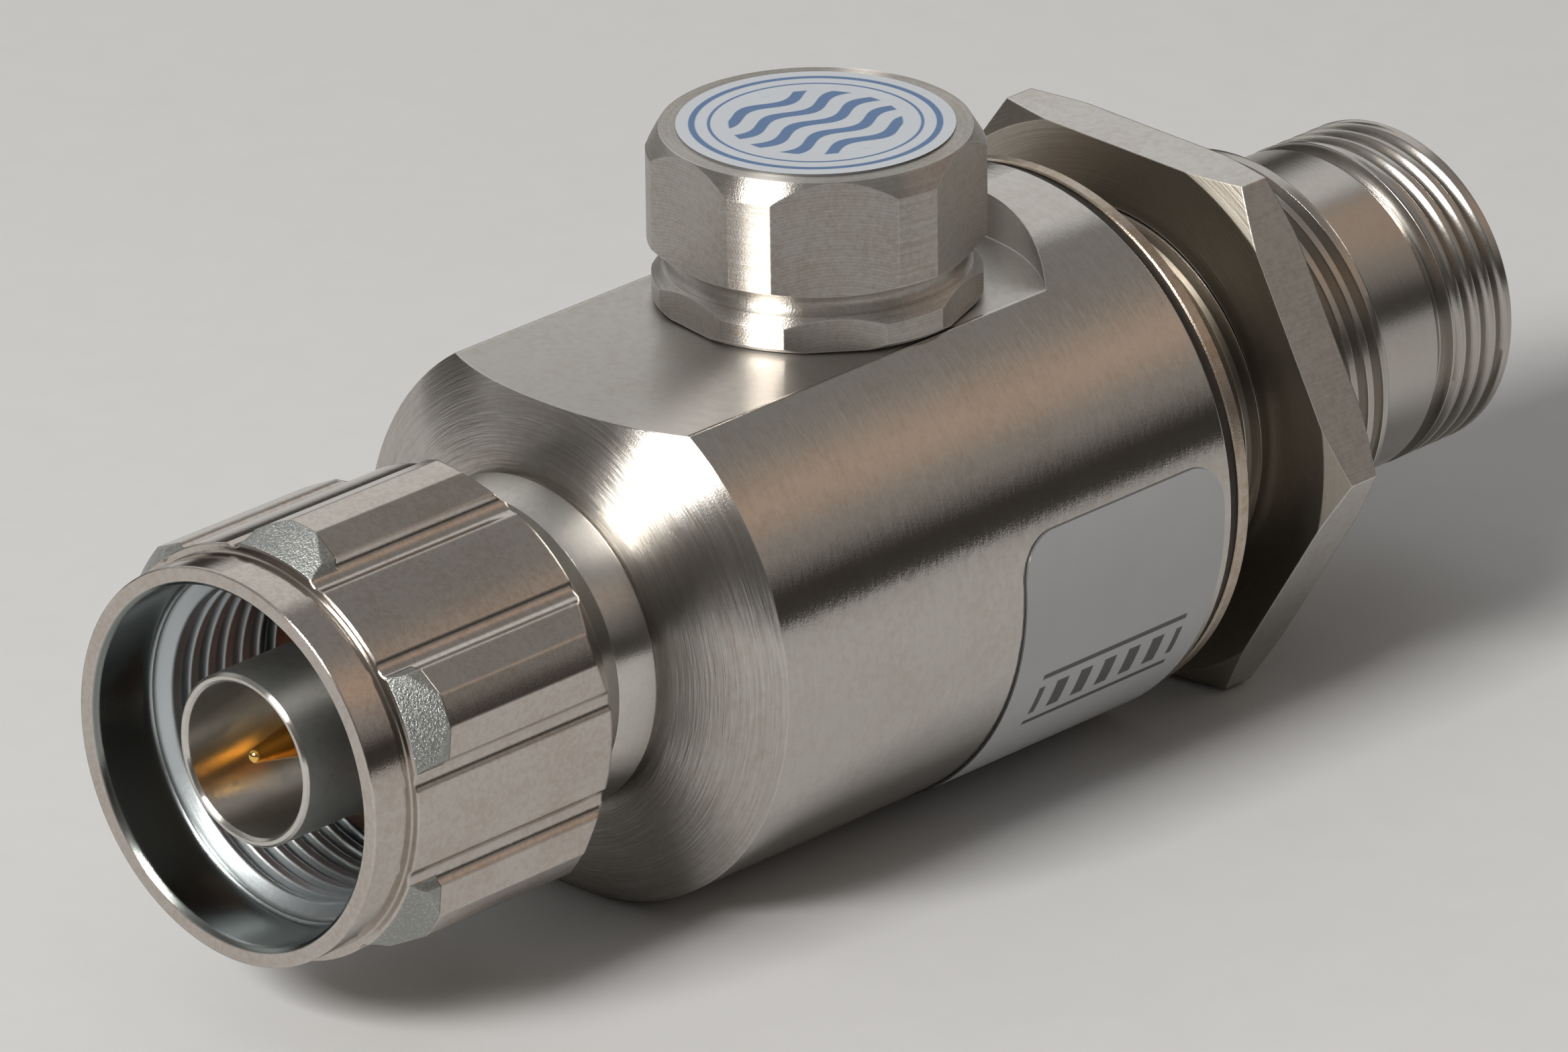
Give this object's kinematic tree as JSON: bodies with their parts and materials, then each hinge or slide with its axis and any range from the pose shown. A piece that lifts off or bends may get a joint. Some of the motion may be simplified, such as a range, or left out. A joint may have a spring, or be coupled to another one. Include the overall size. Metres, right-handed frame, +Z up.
{
  "type": "coaxial gas discharge tube surge protector",
  "caption": "Coaxial surge protector with a plug and coupling nut, a body with a screw-in gas capsule under a hexagonal cap, and a bulkhead jack with panel hardware.",
  "frame": {"origin": "centre of the plug's mating plane, at the tip of its outer contact sleeve, on the coaxial axis", "axes": "+X along the coaxial axis from the plug to the jack, +Z up through the hexagonal cap"},
  "size_m": [0.077, 0.0294, 0.0326],
  "materials": {
    "plated_body": "brushed, bright plated",
    "plated_plug": "turned, bright plated",
    "plated_nut": "turned, bright plated",
    "plated_jack": "turned, bright plated",
    "plated_hex": "milled, bright plated",
    "plated_cap": "milled, bright plated",
    "washer_metal": "stamped, worn plating",
    "spring_metal": "drawn wire",
    "electrode_metal": "plated",
    "plain_brass": "turned",
    "gold_contact": "gold plated",
    "white_insulator": "machined fluoropolymer",
    "orange_seal": "moulded silicone",
    "dark_seal": "moulded rubber",
    "capsule_ceramic": "sintered, unglazed",
    "label_sheet": "satin printed film"
  },
  "bodies": {
    "main": {"housing": "plated_body", "plug_shell": "plated_plug", "plug_insulator": "white_insulator", "plug_pin": "gold_contact", "plug_gasket": "orange_seal", "snap_ring": "spring_metal", "inner_conductor": "plain_brass", "jack_barrel": "plated_jack", "jack_insulator": "white_insulator", "jack_contact": "gold_contact", "cap_seal": "dark_seal", "side_label": "label_sheet", "mounting_gasket": "dark_seal"},
    "coupling": {"coupling_nut": "plated_nut"},
    "capsule": {"capsule_ceramic": "capsule_ceramic", "lower_electrode": "electrode_metal", "upper_electrode": "electrode_metal", "contact_spring": "spring_metal"},
    "cap": {"cap": "plated_cap", "cap_label": "label_sheet"},
    "washer": {"mounting_washer": "washer_metal"},
    "bulkhead_nut": {"bulkhead_nut": "plated_hex"}
  },
  "joints": [
    {"name": "coupling_spin", "type": "hinge", "parent": "main", "child": "coupling", "pos_m": [0, 0, 0], "axis": [1, 0, 0], "continuous": true},
    {"name": "cap_lift", "type": "slide", "parent": "main", "child": "capsule", "axis": [0, 0, 1], "range_m": [0, 0.0055]},
    {"name": "cap_turn", "type": "hinge", "parent": "capsule", "child": "cap", "pos_m": [0.03669, 0, 0], "axis": [0, 0, 1], "range_deg": [0, 1980]},
    {"name": "washer_turn", "type": "hinge", "parent": "main", "child": "washer", "pos_m": [0, 0, 0], "axis": [1, 0, 0], "range_deg": [-1580.7, 3230.5]},
    {"name": "nut_travel", "type": "slide", "parent": "washer", "child": "bulkhead_nut", "axis": [1, 0, 0], "range_m": [-0.00465, 0.0095]}
  ],
  "couplings": [
    {"joint": "cap_lift", "follows": "cap_turn", "m_per_rad": 0.00015915},
    {"joint": "nut_travel", "follows": "washer_turn", "m_per_rad": 0.00016844}
  ]
}
